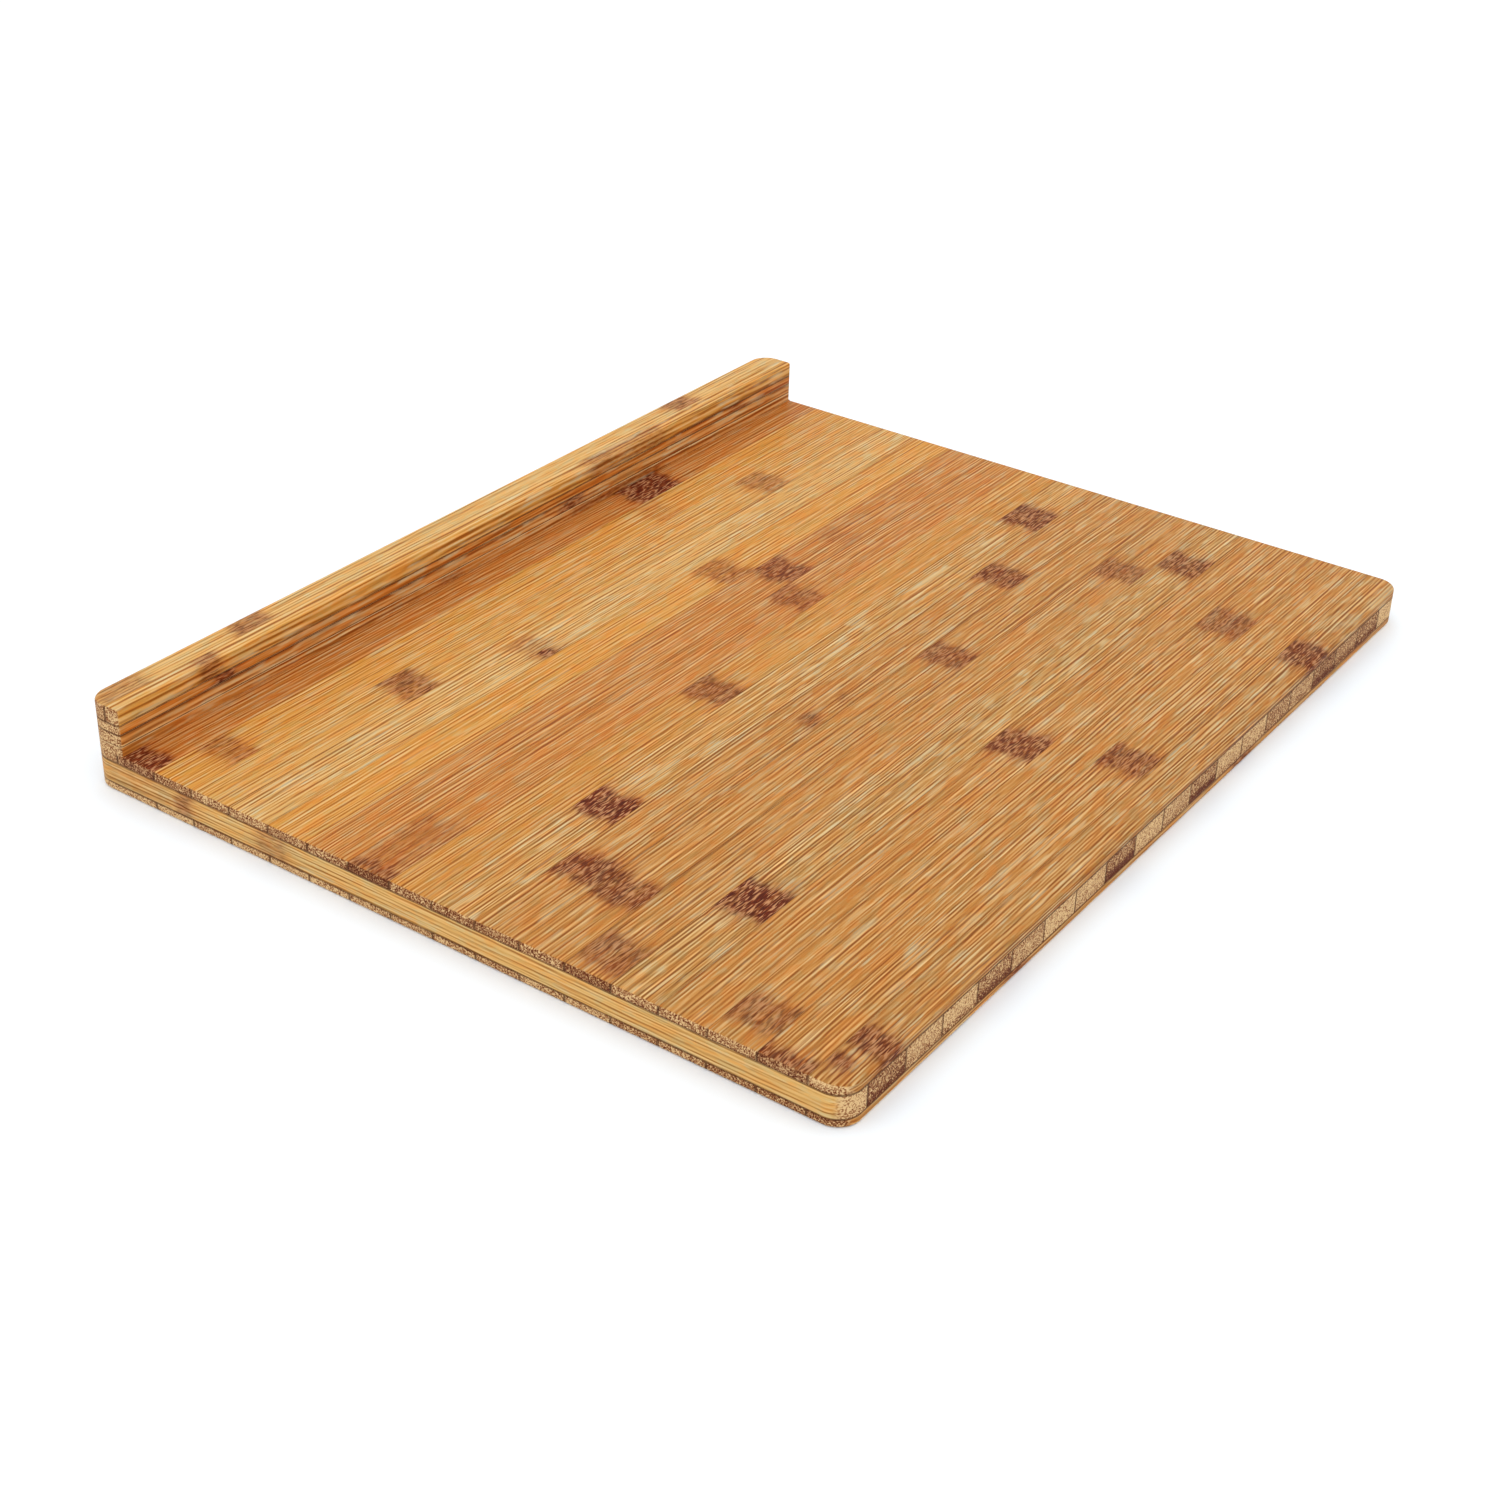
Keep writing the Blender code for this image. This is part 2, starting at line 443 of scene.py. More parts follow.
# Patches of the wood. A pair is the values of the noise where a patch fades in, and is whole.
WARM = Noise((14.0, 3.5, 3.5), 2.0)
WARM_EDGES = (0.48, 0.62)
WARM_SHARE = 0.70
WARM_TINT = (1.05, 0.86, 0.66, 1.0)
CLUSTERS = Noise((16.0, 5.0, 5.0))
CLUSTER_EDGES = (0.46, 0.68)
THREAD_EDGES = (-0.12, 0.16)  # the values of the long lines that can be pale threads
THREAD_SHARE = 0.14
PALE_THREAD_SHARE = 0.42  # what pale fibres add to that share
PALE_STREAK = srgb(222, 202, 152)
GREY = Noise((9.0, 3.6, 3.6), 2.0, 0.6)
GREY_EDGES = (0.50, 0.62)
GREY_SHARE = 0.85
GREY_TINT = (0.90, 1.05, 1.30, 1.0)

# The wood in a node and beside it.
BESIDE = Noise((9.0, 4.0, 4.0))
BESIDE_EDGES = (0.25, 0.65)
BESIDE_TINT = (0.80, 0.57, 0.42, 1.0)
PATCHY = Noise((6.0, 4.0, 4.0))
PATCHY_EDGES = (0.25, 0.6)
NODE_SHARE = 0.66
NODE_PATCH_SHARE = 0.38
NODE_TINT = (0.37, 0.155, 0.14, 1.0)
FLECKS = Noise((4.0, 0.62, 0.62), 0.0)
FLECK_EDGES = (0.53, 0.68)
FLECK_SHARE = 0.80
NODE_FLECK = srgb(208, 150, 104)
PORE_EDGES = (0.48, 0.32)
PORE_SHARE = 0.95
NODE_PORE = srgb(82, 30, 12)

# End grain.
DOTS = Noise((5.0, 0.5, 0.5), 0.0)
DOT_SWING = 1.3
RINGS = (8.0, 0.9, 0.9)
RING_MIDDLE = 0.5
RING_SHARE = 1.3
CLOUDS = Noise((20.0, 4.0, 2.5))
CLOUD_SWING = 0.3
END_MID_EDGES = (-0.2, 0.5)
END_DARK_EDGES = (0.5, 1.15)
END_NODE_SHARE = 0.6
END_LIGHT = srgb(226, 188, 134)
END_MID = srgb(164, 113, 71)
END_DARK = srgb(96, 42, 18)

# Glue lines, which also stand for painted shade in the joint (on the lower lip layer, a painted highlight).
# A pair is where a line fades in, and is whole, in millimetres from the joint.
SIDE_LINE = (0.40, 0.12)
SIDE_LINE_SHARE = 0.26
SIDE_LINE_END_SHARE = 0.6  # what end grain adds to that share
PLY_LINE = (0.60, 0.22)
PLY_LINE_SHARE = 0.85
BREAKS = Noise((9.0, 9.0, 9.0), 2.0)
BREAK_EDGES = (0.2, 0.55)  # the values of the noise where a line is broken, and is whole
BREAK_SHARE = 0.4  # the strength that a line keeps where it is broken

# Relief and roughness.
LINE_RELIEF = 0.5
BUNDLE_RELIEF = 0.6
FLECK_RELIEF = 0.7
DOT_RELIEF = 0.7
RING_RELIEF = 0.6
GLUE_RELIEF = 0.5
ROUGHNESS = 0.48
LINE_ROUGHNESS = 0.25
OPEN_ROUGHNESS = 0.14  # what end grain or a node adds


class Bamboo(Tree):
    """Solid bamboo in a node group. Of the group's inputs, Grain is the place in millimetres: x along the
    fibres, y across the strip, z through it. Facing is the surface's direction in the same axes. Tone is the
    wood's colour, Pale how pale and uneven its fibres are, and End dark how dark its end grain is. Fineness
    is 1 for the usual lines, and less for wider, longer ones. Skin is (z of the dense side, z where it has
    faded, how dark). Low and High are the strip's glue lines. Each knot is a place, and a half size with a
    strength."""

    def __init__(self, group):
        super().__init__(group)
        self.given = self.node("NodeGroupInput").outputs
        self.along, self.across, self.through = self.parts(self.given["Grain"])
        facing = self.parts(self.given["Facing"])
        end_on, self.side_on, self.face_on = (self.math("ABSOLUTE", part) for part in facing)
        self.is_end = self.band(end_on, *END_FACING)
        skin = self.parts(self.given["Skin"])
        self.dense = self.times(self.band(self.through, skin[1], skin[0]), skin[2])
        # Every strip reads another part of the same patterns.
        shift = self.vector(*[self.times(self.given["Seed"], step) for step in SEED_SHIFT])
        self.place = self.vector_math("ADD", self.given["Grain"], shift)
        self.find_nodes()
        self.lay_fibres()
        self.fleck = self.noise(self.fibres, FLECKS)
        self.dots = self.noise(self.place, DOTS)
        self.rings = self.scatter(self.place, RINGS)
        self.glue = self.glue_lines()

    def find_nodes(self):
        """Nodes of the culm: dark bands across the strip, with soft, ragged ends."""
        ragged = self.swing(self.noise(self.place, RAGGED), RAGGED_REACH)
        bent = self.swing(self.noise(self.place, BENT), BENT_REACH)
        from_start = self.add(self.along, self.add(ragged, bent))
        knots, halos = [], []
        for number in range(1, KNOTS + 1):
            at = self.parts(self.given[f"Knot {number} at"])
            half = self.parts(self.given[f"Knot {number} size"])
            past_end = self.less(self.apart(from_start, at[0]), half[0])
            past_side = self.less(self.apart(self.across, at[1]), half[1])
            inside = self.times(self.band(past_end, *KNOT_ALONG), self.band(past_side, *KNOT_ACROSS))
            knots.append(self.times(inside, half[2]))
            near = self.times(self.band(past_end, *HALO_ALONG), self.band(past_side, *HALO_ACROSS))
            halos.append(self.times(near, half[2]))
        self.knot = self.most(knots)
        self.halo = self.most(halos)

    def lay_fibres(self):
        """Fibres run almost straight, wander a little, and swerve beside a node. Rows of vascular bundles
        make fine, fairly even lines on every face along the grain: a top or underside shows the rows across
        the strip, and a side the rows through it."""
        wander = self.swing(self.noise(self.place, WANDER), WANDER_REACH)
        swerve = self.swing(self.noise(self.place, SWERVE), SWERVE_REACH)
        moved = self.add(wander, self.times(swerve, self.add(self.halo, SWERVE_AWAY)))
        along, across, through = self.parts(self.place)
        across = self.add(across, moved)
        through = self.add(through, moved)
        self.fibres = self.vector(along, across, through)

        from_above = self.math("GREATER_THAN", self.face_on, TOP_FACING)
        row = self.add(through, self.times(self.less(across, through), from_above))
        fineness = self.given["Fineness"]
        self.rows = self.vector(self.times(along, fineness), self.times(row, fineness), ROW_SLICE)
        self.long_lines = self.lines(self.rows, LONG_LINES)
        self.short_lines = self.lines(self.rows, SHORT_LINES)
        self.bundle = self.scatter(self.fibres, BUNDLES)

    def glue_lines(self):
        """How much of a glue line shows: a line is where a joint meets the surface, and it stands for the
        glue and the painted shading at the joint.
        """
        low = self.parts(self.given["Low"])
        high = self.parts(self.given["High"])
        to_side = self.math("MINIMUM", self.less(self.across, low[1]), self.less(high[1], self.across))
        to_side = self.math("DIVIDE", to_side, self.add(1.0, self.is_end))
        to_ply = self.math("MINIMUM", self.less(self.through, low[2]), self.less(high[2], self.through))
        side_line = self.times(self.band(to_side, *SIDE_LINE), self.band(self.side_on, *JOINT_FACING))
        ply_line = self.times(self.band(to_ply, *PLY_LINE), self.band(self.face_on, *JOINT_FACING))
        side_share = self.add(SIDE_LINE_SHARE, self.times(self.is_end, SIDE_LINE_END_SHARE))
        side_line = self.times(side_line, side_share)
        ply_line = self.times(ply_line, PLY_LINE_SHARE)
        unbroken = self.band(self.noise(self.place, BREAKS), *BREAK_EDGES)
        strength = self.add(BREAK_SHARE, self.times(unbroken, 1 - BREAK_SHARE))
        return self.times(self.math("MAXIMUM", side_line, ply_line), strength)

    def shade(self):
        """How light or dark the fibres are, either side of 0."""
        ridges = self.ridges(self.place, self.rows, RIDGE_WIDTH, RIDGE_HEIGHT)
        fine_ridges = self.ridges(self.place, self.rows, FINE_RIDGE_WIDTH, FINE_RIDGE_HEIGHT)
        bundle = self.times(self.less(self.bundle, BUNDLE_MIDDLE), BUNDLE_SHARE)
        long_lines = self.times(self.long_lines, LONG_LINES.share)
        short_lines = self.times(self.short_lines, SHORT_LINES.share)
        dashes = self.times(self.lines(self.rows, DASHES), DASHES.share)
        flicker = self.times(self.lines(self.rows, FLICKER), FLICKER.share)
        streaks = self.swing(self.noise(self.fibres, STREAKS), STREAK_SWING)
        broad = self.swing(self.noise(self.place, BROAD), BROAD_SWING)
        found = self.add(self.add(ridges, fine_ridges), bundle)
        found = self.add(found, self.add(long_lines, short_lines))
        found = self.add(found, self.add(dashes, flicker))
        found = self.times(found, self.add(CONTRAST, self.times(self.given["Pale"], PALE_CONTRAST)))
        found = self.add(found, self.add(streaks, broad))
        return self.less(found, self.dense)

    def grain_colour(self):
        """The colour of the wood between its nodes, along the grain."""
        shade = self.shade()
        tone = self.given["Tone"]
        dark_fibre = self.mix(1.0, tone, FIBRE_DARK, "MULTIPLY")
        colour = self.mix(self.times(shade, -FIBRE_DARK_SHARE), tone, dark_fibre)
        colour = self.mix(self.times(shade, FIBRE_LIGHT_SHARE), colour, FIBRE_LIGHT)

        # Here and there the wood is warmer or greyer, or has pale fibres in loose clusters.
        warm = self.times(self.band(self.noise(self.place, WARM), *WARM_EDGES), WARM_SHARE)
        colour = self.mix(warm, colour, WARM_TINT, "MULTIPLY")
        cluster = self.band(self.noise(self.place, CLUSTERS), *CLUSTER_EDGES)
        thread = self.band(self.long_lines, *THREAD_EDGES)
        thread_share = self.add(THREAD_SHARE, self.times(self.given["Pale"], PALE_THREAD_SHARE))
        colour = self.mix(self.times(self.times(cluster, thread), thread_share), colour, PALE_STREAK)
        grey = self.times(self.band(self.noise(self.place, GREY), *GREY_EDGES), GREY_SHARE)
        return self.mix(grey, colour, GREY_TINT, "MULTIPLY")

    def with_nodes(self, colour):
        """Beside a node the wood is redder, and in it the fibres are short and flecked."""
        beside = self.times(self.halo, self.band(self.noise(self.place, BESIDE), *BESIDE_EDGES))
        colour = self.mix(beside, colour, BESIDE_TINT, "MULTIPLY")
        patchy = self.band(self.noise(self.place, PATCHY), *PATCHY_EDGES)
        solid = self.times(self.knot, self.add(NODE_SHARE, self.times(patchy, NODE_PATCH_SHARE)))
        colour = self.mix(solid, colour, NODE_TINT, "MULTIPLY")
        fleck = self.times(self.knot, self.band(self.fleck, *FLECK_EDGES))
        colour = self.mix(self.times(fleck, FLECK_SHARE), colour, NODE_FLECK)
        pore = self.times(self.knot, self.band(self.fleck, *PORE_EDGES))
        return self.mix(self.times(pore, PORE_SHARE), colour, NODE_PORE)

    def end_colour(self):
        """End grain: the cut bundles are dark dots, packed closer toward the skin."""
        clouds = self.swing(self.noise(self.place, CLOUDS), CLOUD_SWING)
        rings = self.times(self.less(RING_MIDDLE, self.rings), RING_SHARE)
        darkness = self.add(self.given["End dark"], self.dense)
        darkness = self.add(darkness, self.swing(self.dots, DOT_SWING))
        darkness = self.add(darkness, self.add(rings, clouds))
        colour = self.mix(self.band(darkness, *END_MID_EDGES), END_LIGHT, END_MID)
        colour = self.mix(self.band(darkness, *END_DARK_EDGES), colour, END_DARK)
        return self.mix(self.times(self.knot, END_NODE_SHARE), colour, NODE_TINT, "MULTIPLY")

    def colour(self):
        along_grain = self.with_nodes(self.grain_colour())
        colour = self.mix(self.is_end, along_grain, self.end_colour())
        # Glue lines: glue with painted shade in the joint; the lower lip layer's pale ones carry a painted
        # highlight.
        return self.mix(self.glue, colour, self.given["Glue and shading"])

    def roughness(self):
        lines = self.add(ROUGHNESS, self.times(self.long_lines, LINE_ROUGHNESS))
        is_open = self.math("MAXIMUM", self.is_end, self.knot)
        return self.add(lines, self.times(is_open, OPEN_ROUGHNESS))

    def height(self):
        lines = self.add(self.times(self.short_lines, LINE_RELIEF), self.times(self.long_lines, LINE_RELIEF))
        relief = self.add(lines, self.times(self.bundle, BUNDLE_RELIEF))
        relief = self.add(relief, self.times(self.times(self.knot, self.fleck), FLECK_RELIEF))
        end_relief = self.add(self.times(self.dots, DOT_RELIEF), self.times(self.rings, RING_RELIEF))
        height = self.mix_numbers(self.is_end, relief, end_relief)
        return self.less(height, self.times(self.glue, GLUE_RELIEF))


def bamboo_group():
    """The node group that every strip's material uses."""
    group = bpy.data.node_groups.new("bamboo", "ShaderNodeTree")
    for name, kind in GROUP_INPUTS + KNOT_INPUTS:
        group.interface.new_socket(name, in_out="INPUT", socket_type=kind)
    for name, kind in GROUP_OUTPUTS:
        group.interface.new_socket(name, in_out="OUTPUT", socket_type=kind)
    wood = Bamboo(group)
    out = wood.node("NodeGroupOutput").inputs
    wood.feed(out["Color"], wood.colour())
    wood.feed(out["Roughness"], wood.roughness())
    wood.feed(out["Height"], wood.height())
    return group


BAMBOO = bamboo_group()
SURFACE_RELIEF = 0.08 * MM
WOOD_IOR = 1.42
WOOD_SPECULAR = 0.1
NO_KNOT = ((0.0, 0.0, 0.0), (1.0, 1.0, 0.0))


def bamboo(name, seed, look, low, high, crosswise):
    """One strip's material. low and high are its glue lines, in metres; crosswise strips run along Y."""
    made = bpy.data.materials.new("bamboo_" + name)
    made.use_nodes = True
    made.diffuse_color = look["tone"]
    t = Tree(made.node_tree)
    place = t.node("ShaderNodeTexCoord").outputs
    metres = t.parts(place["Object"])
    normal = t.parts(place["Normal"])
    order = (1, 0, 2) if crosswise else (0, 1, 2)
    inputs = {
        "Grain": t.vector(*[t.times(metres[axis], 1 / MM) for axis in order]),
        "Facing": t.vector(*[normal[axis] for axis in order]),
        "Seed": float(seed),
        "Tone": look["tone"],
        "Pale": look["pale"],
        "Fineness": look["fine"],
        "End dark": look["end"],
        "Skin": look["skin"],
        "Low": [low[axis] / MM for axis in order],
        "High": [high[axis] / MM for axis in order],
        "Glue and shading": look["glue"],
    }
    unused = [NO_KNOT] * (KNOTS - len(look["knots"]))
    for number, (at, size) in enumerate(look["knots"] + unused, 1):
        inputs[f"Knot {number} at"] = at
        inputs[f"Knot {number} size"] = size
    wood = t.node("ShaderNodeGroup", node_tree=BAMBOO)
    for key, value in inputs.items():
        t.feed(wood.inputs[key], value)
    relief = {"Height": wood.outputs["Height"], "Strength": 1.0, "Distance": SURFACE_RELIEF}
    bump = t.node("ShaderNodeBump", relief)
    shader = made.node_tree.nodes["Principled BSDF"].inputs
    t.feed(shader["Base Color"], wood.outputs["Color"])
    t.feed(shader["Roughness"], wood.outputs["Roughness"])
    t.feed(shader["Normal"], bump.outputs["Normal"])
    t.feed(shader["IOR"], WOOD_IOR)
    t.feed(shader["Specular IOR Level"], WOOD_SPECULAR)
    return made


# ---------------------------------------------------------------- the strips' looks

GOLDEN = srgb(213, 146, 60)
LIGHT = srgb(212, 151, 70)
PALE = srgb(213, 160, 87)
HONEY = srgb(220, 171, 98)
SAND = srgb(198, 140, 68)
WHEAT = srgb(189, 135, 68)
AMBER = srgb(202, 137, 58)
TAN = srgb(191, 129, 59)
DUSK = srgb(185, 127, 61)
ORANGE = srgb(197, 126, 53)
RUSSET = srgb(206, 137, 68)
UMBER = srgb(199, 124, 52)
DEEP = srgb(194, 118, 47)
COPPER = srgb(193, 131, 60)
BUFF = srgb(217, 156, 73)
SIENNA = srgb(205, 126, 50)
# The dark glue colour also paints the shade in the joints; the pale one is pale glue with a painted
# highlight, for the lower lip layer.
DARK_GLUE_AND_SHADE = srgb(78, 42, 22)
PALE_GLUE_AND_HIGHLIGHT = srgb(228, 192, 138)
NO_SKIN = (0.0, 1.0, 0.0)

# Places in the looks are in millimetres.
LEFT = -HALF_LENGTH / MM
FRONT = -HALF_DEPTH / MM
BACK = HALF_DEPTH / MM
SURFACE = BOARD_TOP / MM
CORE_BOTTOM, CORE_TOP = (corner.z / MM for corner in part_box("core_strip_10"))
FULL_WIDTH = 400.0  # the half width of a knot that crosses its whole strip, wherever that is

# Top strips from the back edge: tone, pale fibres, end grain darkness, and knots as (place along the strip
# from the -X end, length, strength).
TOP_LOOKS = (
    (TAN, 0.2, 0.40, ()),
    (DEEP, 0.1, 0.46, ((5, 16, 0.95), (325, 32, 0.95))),
    (GOLDEN, 0.3, 0.58, ((30, 16, 0.4), (307, 18, 0.15))),
    (LIGHT, 0.4, 0.42, ((111, 20, 0.6), (365, 20, 0.4))),
    (PALE, 0.9, 0.42, ((168, 18, 0.25),)),
    (GOLDEN, 0.2, 0.55, ((275, 20, 0.4),)),
    (ORANGE, 0.2, 0.58, ((293, 21, 0.65), (337, 14, 0.15))),
    (ORANGE, 0.2, 0.90, ((3, 10, 0.6), (20, 50, 0.2), (274, 20, 0.45))),
    (AMBER, 0.2, 0.64, ((185, 20, 0.6),)),
    (SAND, 0.9, 0.66, ((88, 20, 1.0), (412, 24, 0.8))),
    (TAN, 0.5, 0.62, ((50, 19, 0.75), (350, 20, 0.7))),
    (TAN, 0.3, 0.60, ((47, 19, 0.7), (271, 19, 0.55))),
    (TAN, 0.3, 0.84, ((15, 20, 0.5), (388, 20, 0.45))),
    (WHEAT, 0.9, 0.40, ((71, 22, 1.0), (413, 21, 0.65))),
    (TAN, 0.4, 0.46, ((225, 22, 0.75),)),
    (TAN, 0.4, 0.40, ((18, 18, 0.5), (372, 24, 0.5))),
    (TAN, 0.6, 0.54, ((3, 10, 0.7), (242, 20, 0.6))),
    (DUSK, 0.7, 0.02, ((27, 14, 0.75), (366, 22, 0.75))),
)

# Spots that don't cross the whole strip: strip, place along it, distance from the back edge, and size as
# (half length, half width, strength).
SPOTS = (
    ("top_strip_05", 168, 94.0, (5.0, 4.0, 0.9)),
    ("top_strip_11", 189, 212.5, (5.5, 5.0, 0.5)),
    ("top_strip_11", 213, 213.0, (2.5, 3.0, 0.35)),
    ("top_strip_18", 12, 344.5, (3.5, 4.5, 0.75)),
)

# The front top strip's dense side is down: z where it is densest, z where it has faded, and how dark.
FRONT_SKIN = (SURFACE - 3.8, SURFACE - 0.5, 0.60)

# Core strips from the -X end: end grain darkness, and how much darker the lower or (negative) upper side is.
CORE_ENDS = (
    (0.0, 0.20), (0.60, 0.55), (0.16, 0.30), (0.0, 0.48), (0.55, 0.50),
    (0.28, -0.16), (0.0, -0.06), (0.14, 0.16), (0.62, 0.80), (0.06, 0.14),
    (0.26, 0.18), (0.52, 0.85), (0.12, 0.20), (0.12, 0.22), (0.48, 0.10),
    (0.36, 0.16), (0.72, 0.54), (0.46, 0.46), (0.62, 0.50), (0.0, 0.0),
)
CORE_PALE = 0.3
CORE_SKIN = 1.5  # a core strip is densest within this of its upper or lower side

# Knots along the core strip at the -X end, from the front edge.
LEFT_CORE_KNOTS = ((304, 10, 0.5), (258, 16, 0.32), (335, 50, 0.14))

# Bottom strips from the back edge: end grain darkness.
BOTTOM_ENDS = (
    0.12, 0.02, 0.36, 0.12, 0.13, 0.16, 0.24, 0.34, 0.36,
    0.40, 0.26, 0.26, 0.52, 0.44, 0.58, 0.62, 0.66,
)
FRONT_BOTTOM = {"tone": COPPER, "pale": 0.35}  # the front strip's side is in sight, so its wood isn't drawn

# Lip pieces: tone, pale fibres, end grain darkness, fineness, the colour of the glue lines with their
# painted shading, and knots as for the top strips.
LIP_LOOKS = {
    "lip_cap_outer": (HONEY, 0.3, 0.30, 0.8, DARK_GLUE_AND_SHADE, ((12, 26, 0.3), (82, 21, 0.55), (378, 19, 0.55))),
    "lip_cap_inner": (BUFF, 0.9, 0.32, 0.6, DARK_GLUE_AND_SHADE, ((50, 13, 0.5), (300, 18, 0.35), (318, 60, 0.25))),
    "lip_layer_upper": (SIENNA, 1.0, 0.22, 0.6, DARK_GLUE_AND_SHADE, ((56, 14, 0.8), (411, 16, 0.3))),
    "lip_layer_middle": (RUSSET, 1.0, 0.28, 0.6, DARK_GLUE_AND_SHADE, ((276, 18, 0.6),)),
    # Its pale glue lines also paint a highlight along the lip's lower joints.
    "lip_layer_lower": (UMBER, 1.0, 0.30, 0.6, PALE_GLUE_AND_HIGHLIGHT, ((192, 15, 0.3), (312, 70, 0.3))),
}

# What the wood of the core and bottom strips is drawn from. Their broad faces are out of sight.
TONES = (TAN, LIGHT, GOLDEN, DUSK, ORANGE, PALE, AMBER, SAND)
PALE_RANGE = (0.2, 0.9)
FIRST_KNOT = (28, 170)
KNOT_SPACING = (150, 290)
KNOT_LENGTH = (15, 23)
KNOT_STRENGTH = (0.3, 0.95)
CORE_SEED = 11
BOTTOM_SEED = 5


def make_look(tone, pale, end, knots, skin=NO_SKIN, glue=DARK_GLUE_AND_SHADE, fine=1.0):
    """One strip's look. knots are as full_width gives them, and the rest is as Bamboo says."""
    return {"tone": tone, "pale": pale, "end": end, "skin": skin, "knots": knots, "glue": glue, "fine": fine}


def full_width(knots, start):
    """These knots as (place, half size), right across a strip whose first end is at start."""
    return [((start + at, 0.0, 0.0), (length / 2, FULL_WIDTH, strength)) for at, length, strength in knots]


def scattered_knots(chance, length):
    """Nodes as a culm has them, some way apart along a strip of this length, each more or less dark."""
    knots = []
    at = chance.uniform(*FIRST_KNOT)
    while at < length:
        knots.append((at, chance.uniform(*KNOT_LENGTH), chance.uniform(*KNOT_STRENGTH)))
        at += chance.uniform(*KNOT_SPACING)
    return knots[:KNOTS]


def top_looks():
    looks = {}
    for number, (tone, pale, end, knots) in enumerate(TOP_LOOKS, 1):
        looks[f"top_strip_{number:02d}"] = make_look(tone, pale, end, full_width(knots, LEFT))
    for name, along, from_back, size in SPOTS:
        looks[name]["knots"].append(((LEFT + along, BACK - from_back, 0.0), size))
    looks["top_strip_18"]["skin"] = FRONT_SKIN
    return looks


def core_looks():
    looks = {}
    chance = random.Random(CORE_SEED)
    middle = (CORE_BOTTOM + CORE_TOP) / 2
    for number, (end, lower) in enumerate(CORE_ENDS, 1):
        densest = CORE_BOTTOM + CORE_SKIN if lower >= 0 else CORE_TOP - CORE_SKIN
        knots = full_width(scattered_knots(chance, BACK - FRONT), FRONT)
        tone = TONES[number % len(TONES)]
        skin = (densest, middle, abs(lower))
        looks[f"core_strip_{number:02d}"] = make_look(tone, CORE_PALE, end, knots, skin)
    looks["core_strip_01"].update(tone=HONEY, knots=full_width(LEFT_CORE_KNOTS, FRONT))
    looks["core_strip_20"].update(tone=HONEY)
    return looks


def bottom_looks():
    looks = {}
    chance = random.Random(BOTTOM_SEED)
    for number, end in enumerate(BOTTOM_ENDS, 1):
        knots = full_width(scattered_knots(chance, -2 * LEFT), LEFT)
        tone = chance.choice(TONES)
        looks[f"bottom_strip_{number:02d}"] = make_look(tone, chance.uniform(*PALE_RANGE), end, knots)
    looks["bottom_strip_17"].update(FRONT_BOTTOM)
    return looks


def lip_looks():
    looks = {}
    for name, (tone, pale, end, fine, glue, knots) in LIP_LOOKS.items():
        looks[name] = make_look(tone, pale, end, full_width(knots, LEFT), glue=glue, fine=fine)
    return looks


# ---------------------------------------------------------------- the board


def make_strips():
    """One finished strip for each CAD node, standing for it and riding on the one body."""
    board_limits = ((-HALF_LENGTH, -HALF_DEPTH, 0.0), (HALF_LENGTH, HALF_DEPTH, BOARD_TOP))
    lip_limits = ((-HALF_LENGTH, LIP_FACE, LIP_BOTTOM), (HALF_LENGTH, HALF_DEPTH, HEIGHT))
    board_guide, lip_guide = board_blank(), lip_blank()
    looks = {**top_looks(), **core_looks(), **bottom_looks(), **lip_looks()}
    for seed, (node, node_look) in enumerate(looks.items(), 1):
        on_lip = node.startswith("lip_")
        low, high = glued_limits(node, *(lip_limits if on_lip else board_limits))
        made = strip("fine_" + node, low, high, lip_guide if on_lip else board_guide)
        crosswise = node.startswith("core_")
        made.data.materials.clear()
        made.data.materials.append(bamboo(node, seed, node_look, low, high, crosswise))
        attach(made, "root")
        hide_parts(node)
    for guide in (board_guide, lip_guide):
        bpy.data.objects.remove(guide)


# ---------------------------------------------------------------- floor, light and camera

FLOOR_HALF = 8.0
FLOOR_CELLS = 4
FLOOR_DROP = 0.05 * MM
FLOOR_COLOUR = (0.90, 0.955, 1.0, 1.0)
FLOOR_ROUGHNESS = 0.8
FLOOR_SPECULAR = 0.2

SKY_COLOUR = (1.0, 1.0, 1.0, 1.0)
SKY_STRENGTH = 1.15
KEY_PLACE = Vector((-0.9, -0.3, 2.2))
KEY_SIDE = 2.6
KEY_POWER = 9.0

CAMERA_AZIMUTH = math.radians(-55.61)
CAMERA_ELEVATION = math.radians(31.03)
CAMERA_ROLL = math.radians(1.87)
CAMERA_DISTANCE = 0.98846
CAMERA_TARGET = Vector((-0.04956, -0.01298, 0.0))
CAMERA_LENS = 57.91
CAMERA_SENSOR = 36.0
CLIP_START = 0.02
CLIP_END = 60.0


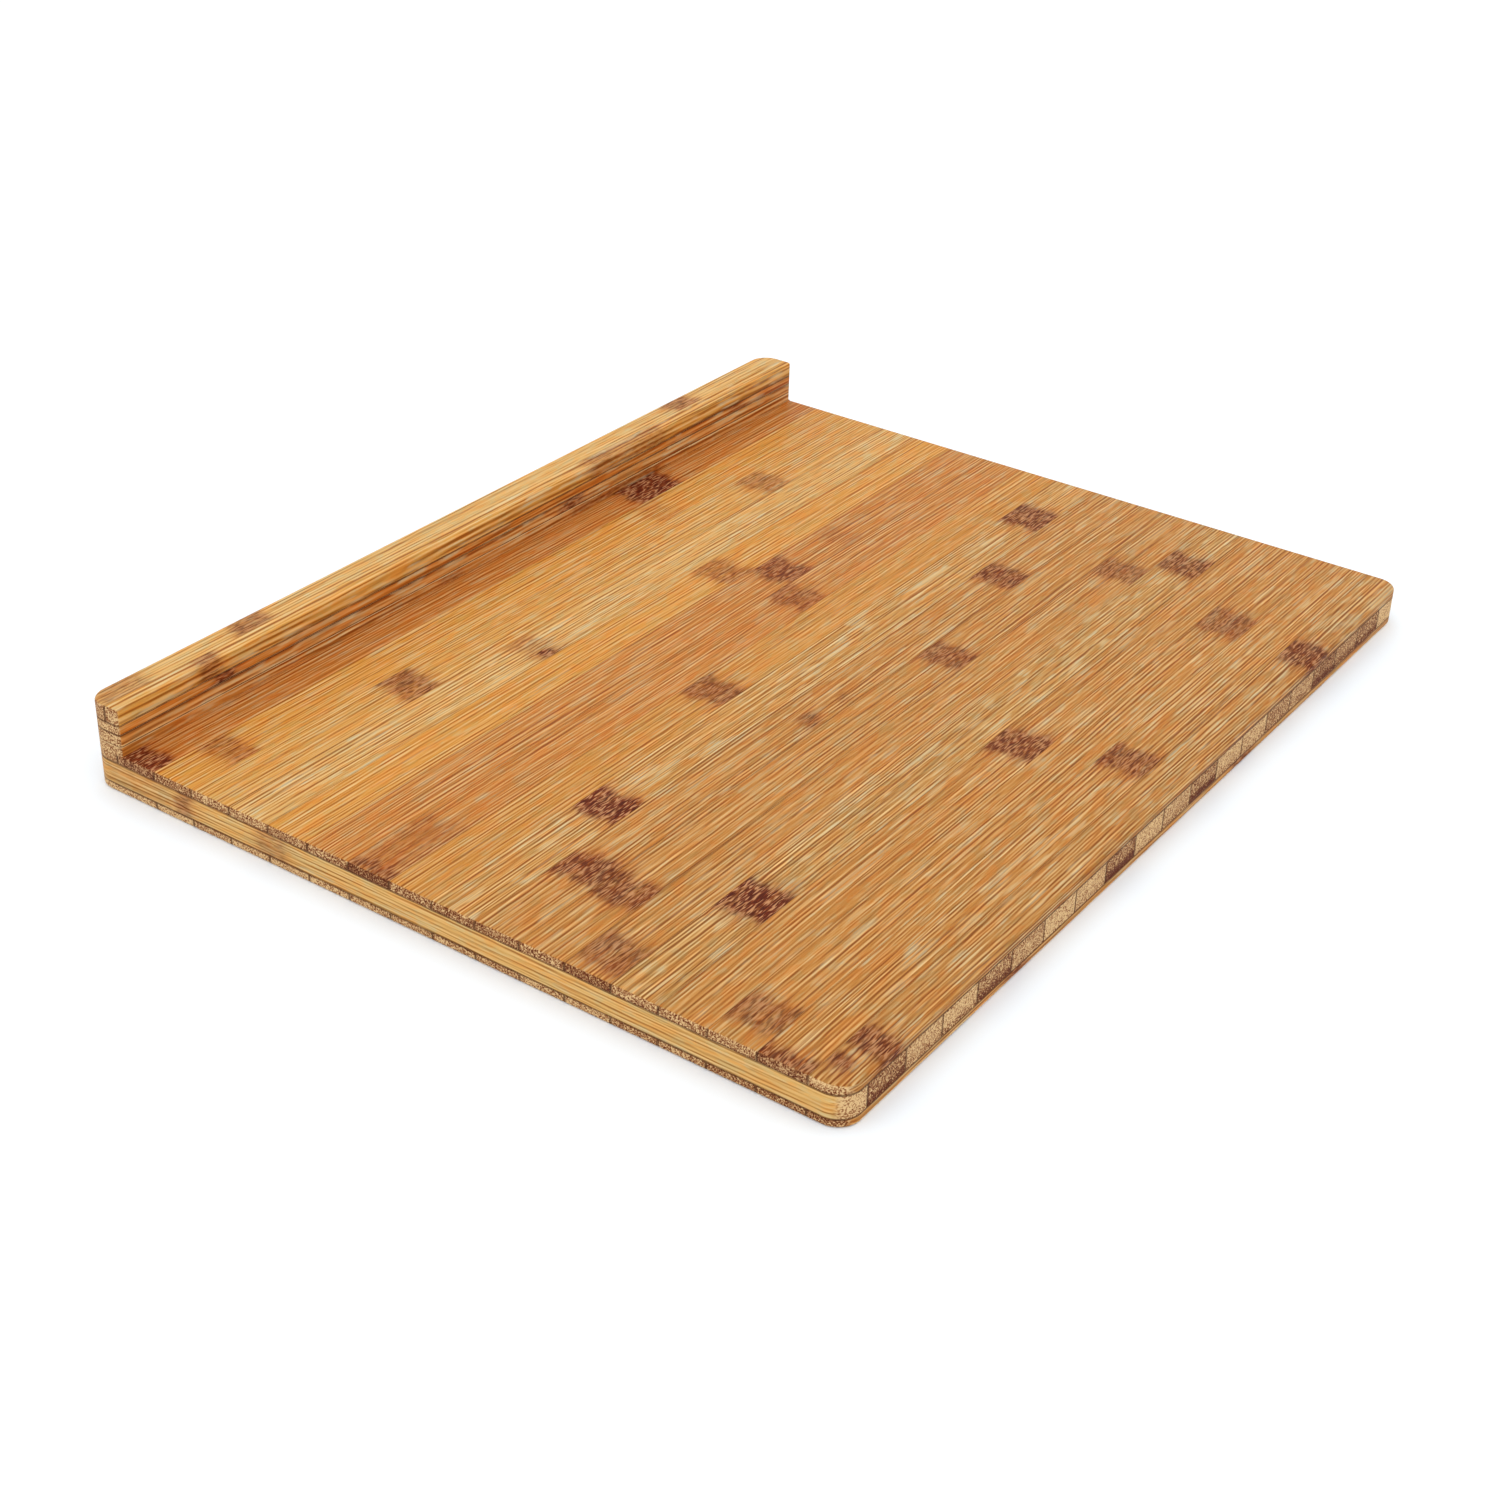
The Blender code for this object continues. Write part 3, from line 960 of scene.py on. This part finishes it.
def add_floor():
    shape = bmesh.new()
    bmesh.ops.create_grid(shape, x_segments=FLOOR_CELLS, y_segments=FLOOR_CELLS, size=FLOOR_HALF)
    floor = add_object("floor", shape)
    floor.location.z = -FLOOR_DROP
    made = bpy.data.materials.new("floor_white")
    made.use_nodes = True
    shader = made.node_tree.nodes["Principled BSDF"]
    shader.inputs["Base Color"].default_value = FLOOR_COLOUR
    shader.inputs["Roughness"].default_value = FLOOR_ROUGHNESS
    shader.inputs["Specular IOR Level"].default_value = FLOOR_SPECULAR
    floor.data.materials.append(made)


def add_light():
    """An even white studio, with a large, soft key light that looks at the middle of the board."""
    world = bpy.data.worlds.new("studio")
    bpy.context.scene.world = world
    world.use_nodes = True
    sky = world.node_tree.nodes["Background"]
    sky.inputs["Color"].default_value = SKY_COLOUR
    sky.inputs["Strength"].default_value = SKY_STRENGTH
    lamp = bpy.data.lights.new("key", "AREA")
    lamp.shape = "RECTANGLE"
    lamp.size = KEY_SIDE
    lamp.size_y = KEY_SIDE
    lamp.energy = KEY_POWER
    made = bpy.data.objects.new("key", lamp)
    bpy.context.collection.objects.link(made)
    made.location = KEY_PLACE
    made.rotation_mode = "QUATERNION"
    made.rotation_quaternion = (-KEY_PLACE).to_track_quat("-Z", "Y")


def add_camera():
    back = Vector(
        (
            math.sin(CAMERA_AZIMUTH) * math.cos(CAMERA_ELEVATION),
            -math.cos(CAMERA_AZIMUTH) * math.cos(CAMERA_ELEVATION),
            math.sin(CAMERA_ELEVATION),
        )
    )
    right = Vector((0.0, 0.0, 1.0)).cross(back).normalized()
    up = back.cross(right)
    turned_right = math.cos(CAMERA_ROLL) * right + math.sin(CAMERA_ROLL) * up
    turned_up = math.cos(CAMERA_ROLL) * up - math.sin(CAMERA_ROLL) * right
    lens = bpy.data.cameras.new("camera")
    lens.lens = CAMERA_LENS
    lens.sensor_width = CAMERA_SENSOR
    lens.clip_start = CLIP_START
    lens.clip_end = CLIP_END
    camera = bpy.data.objects.new("camera", lens)
    bpy.context.collection.objects.link(camera)
    axes = Matrix((turned_right, turned_up, back)).transposed().to_4x4()
    camera.matrix_world = Matrix.Translation(CAMERA_TARGET + back * CAMERA_DISTANCE) @ axes
    bpy.context.scene.camera = camera


make_strips()
add_floor()
add_light()
add_camera()
bpy.context.scene.view_settings.view_transform = "Standard"
bpy.context.view_layer.update()
